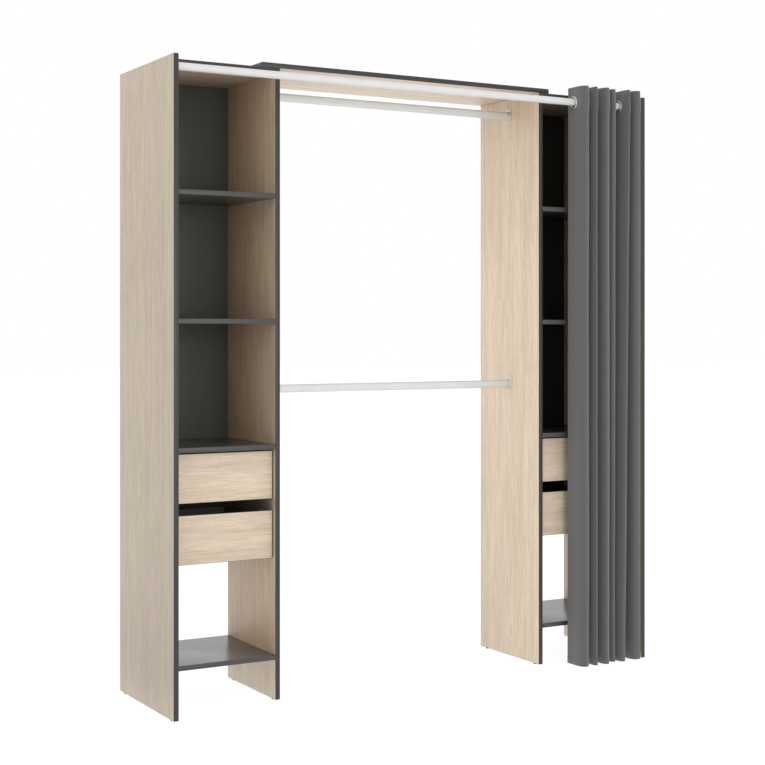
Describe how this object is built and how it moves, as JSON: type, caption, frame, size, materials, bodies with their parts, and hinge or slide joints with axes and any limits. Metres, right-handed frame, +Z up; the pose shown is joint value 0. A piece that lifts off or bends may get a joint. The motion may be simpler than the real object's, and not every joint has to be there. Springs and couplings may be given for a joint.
{
  "type": "open-front wardrobe",
  "caption": "Open-front wardrobe of shelf columns with drawers, joined by a top board and hanging rails, with an eyelet curtain on a rod.",
  "frame": {"origin": "centre of the bounding box's footprint, at the undersides of the glides", "axes": "+Z up, +X to the right seen from the front, -Y towards the front with the curtain"},
  "size_m": [1.784, 0.5228, 2.055],
  "materials": {
    "side_panel": "light oak foil with vertical grain, satin",
    "shelf": "anthracite melamine, satin",
    "top_board": "light oak foil with anthracite edges, satin",
    "drawer_front": "light oak foil with horizontal grain, satin",
    "drawer_box": "anthracite foil, matt",
    "hardboard": "anthracite printed hardboard, matt",
    "runner": "white powder-coated steel",
    "rail": "satin grey-white tube",
    "socket": "white painted steel",
    "rod": "white painted tube",
    "eyelet": "satin plated",
    "curtain": "plain anthracite polyester weave"
  },
  "bodies": {
    "root": {"left_outer_side": "side_panel", "left_inner_side": "side_panel", "left_top_panel": "shelf", "left_upper_shelf": "shelf", "left_middle_shelf": "shelf", "left_drawer_shelf": "shelf", "left_bottom_shelf": "shelf", "left_back": "hardboard", "right_outer_side": "side_panel", "right_inner_side": "side_panel", "right_top_panel": "shelf", "right_upper_shelf": "shelf", "right_middle_shelf": "shelf", "right_drawer_shelf": "shelf", "right_bottom_shelf": "shelf", "right_back": "hardboard", "top_board": "top_board", "left_upper_drawer_left_runner": "runner", "left_upper_drawer_right_runner": "runner", "left_lower_drawer_left_runner": "runner", "left_lower_drawer_right_runner": "runner", "right_upper_drawer_left_runner": "runner", "right_upper_drawer_right_runner": "runner", "right_lower_drawer_left_runner": "runner", "right_lower_drawer_right_runner": "runner", "upper_rail": "rail", "upper_rail_left_socket": "socket", "upper_rail_right_socket": "socket", "lower_rail": "rail", "lower_rail_left_socket": "socket", "lower_rail_right_socket": "socket", "curtain_rod": "rod", "curtain_rod_left_cup": "socket", "curtain_rod_right_cup": "socket"},
    "left_upper_drawer": {"left_upper_drawer_front": "drawer_front", "left_upper_drawer_box": "drawer_box", "left_upper_drawer_bottom": "hardboard"},
    "left_lower_drawer": {"left_lower_drawer_front": "drawer_front", "left_lower_drawer_box": "drawer_box", "left_lower_drawer_bottom": "hardboard"},
    "right_upper_drawer": {"right_upper_drawer_front": "drawer_front", "right_upper_drawer_box": "drawer_box", "right_upper_drawer_bottom": "hardboard"},
    "right_lower_drawer": {"right_lower_drawer_front": "drawer_front", "right_lower_drawer_box": "drawer_box", "right_lower_drawer_bottom": "hardboard"},
    "curtain_tail": {"eyelet_12": "eyelet", "curtain": "curtain"},
    "curtain_ring_11": {"eyelet_11": "eyelet"},
    "curtain_ring_10": {"eyelet_10": "eyelet"},
    "curtain_ring_09": {"eyelet_09": "eyelet"},
    "curtain_ring_08": {"eyelet_08": "eyelet"},
    "curtain_ring_07": {"eyelet_07": "eyelet"},
    "curtain_ring_06": {"eyelet_06": "eyelet"},
    "curtain_ring_05": {"eyelet_05": "eyelet"},
    "curtain_ring_04": {"eyelet_04": "eyelet"},
    "curtain_ring_03": {"eyelet_03": "eyelet"},
    "curtain_ring_02": {"eyelet_02": "eyelet"},
    "curtain_ring_01": {"eyelet_01": "eyelet"}
  },
  "joints": [
    {"name": "left_upper_drawer_slide", "type": "slide", "parent": "root", "child": "left_upper_drawer", "axis": [0, -1, 0], "range_m": [0, 0.28]},
    {"name": "left_lower_drawer_slide", "type": "slide", "parent": "root", "child": "left_lower_drawer", "axis": [0, -1, 0], "range_m": [0, 0.28]},
    {"name": "right_upper_drawer_slide", "type": "slide", "parent": "root", "child": "right_upper_drawer", "axis": [0, -1, 0], "range_m": [0, 0.28]},
    {"name": "right_lower_drawer_slide", "type": "slide", "parent": "root", "child": "right_lower_drawer", "axis": [0, -1, 0], "range_m": [0, 0.28]},
    {"name": "curtain_slide", "type": "slide", "parent": "root", "child": "curtain_tail", "axis": [-1, 0, 0], "range_m": [0, 0.4], "deforming": ["curtain"]},
    {"name": "curtain_spread", "type": "slide", "parent": "curtain_tail", "child": "curtain_ring_11", "axis": [1, 0, 0], "range_m": [-0.0955, 0]},
    {"name": "fold_10_spread", "type": "slide", "parent": "curtain_ring_11", "child": "curtain_ring_10", "axis": [1, 0, 0], "range_m": [-0.0955, 0]},
    {"name": "fold_09_spread", "type": "slide", "parent": "curtain_ring_10", "child": "curtain_ring_09", "axis": [1, 0, 0], "range_m": [-0.0955, 0]},
    {"name": "fold_08_spread", "type": "slide", "parent": "curtain_ring_09", "child": "curtain_ring_08", "axis": [1, 0, 0], "range_m": [-0.0955, 0]},
    {"name": "fold_07_spread", "type": "slide", "parent": "curtain_ring_08", "child": "curtain_ring_07", "axis": [1, 0, 0], "range_m": [-0.0955, 0]},
    {"name": "fold_06_spread", "type": "slide", "parent": "curtain_ring_07", "child": "curtain_ring_06", "axis": [1, 0, 0], "range_m": [-0.0955, 0]},
    {"name": "fold_05_spread", "type": "slide", "parent": "curtain_ring_06", "child": "curtain_ring_05", "axis": [1, 0, 0], "range_m": [-0.0955, 0]},
    {"name": "fold_04_spread", "type": "slide", "parent": "curtain_ring_05", "child": "curtain_ring_04", "axis": [1, 0, 0], "range_m": [-0.0955, 0]},
    {"name": "fold_03_spread", "type": "slide", "parent": "curtain_ring_04", "child": "curtain_ring_03", "axis": [1, 0, 0], "range_m": [-0.0955, 0]},
    {"name": "fold_02_spread", "type": "slide", "parent": "curtain_ring_03", "child": "curtain_ring_02", "axis": [1, 0, 0], "range_m": [-0.0955, 0]},
    {"name": "fold_01_spread", "type": "slide", "parent": "curtain_ring_02", "child": "curtain_ring_01", "axis": [1, 0, 0], "range_m": [-0.0955, 0]}
  ],
  "couplings": [
    {"joint": "fold_10_spread", "follows": "curtain_spread", "ratio": 1},
    {"joint": "fold_09_spread", "follows": "curtain_spread", "ratio": 1},
    {"joint": "fold_08_spread", "follows": "curtain_spread", "ratio": 1},
    {"joint": "fold_07_spread", "follows": "curtain_spread", "ratio": 1},
    {"joint": "fold_06_spread", "follows": "curtain_spread", "ratio": 1},
    {"joint": "fold_05_spread", "follows": "curtain_spread", "ratio": 1},
    {"joint": "fold_04_spread", "follows": "curtain_spread", "ratio": 1},
    {"joint": "fold_03_spread", "follows": "curtain_spread", "ratio": 1},
    {"joint": "fold_02_spread", "follows": "curtain_spread", "ratio": 1},
    {"joint": "fold_01_spread", "follows": "curtain_spread", "ratio": 1}
  ]
}
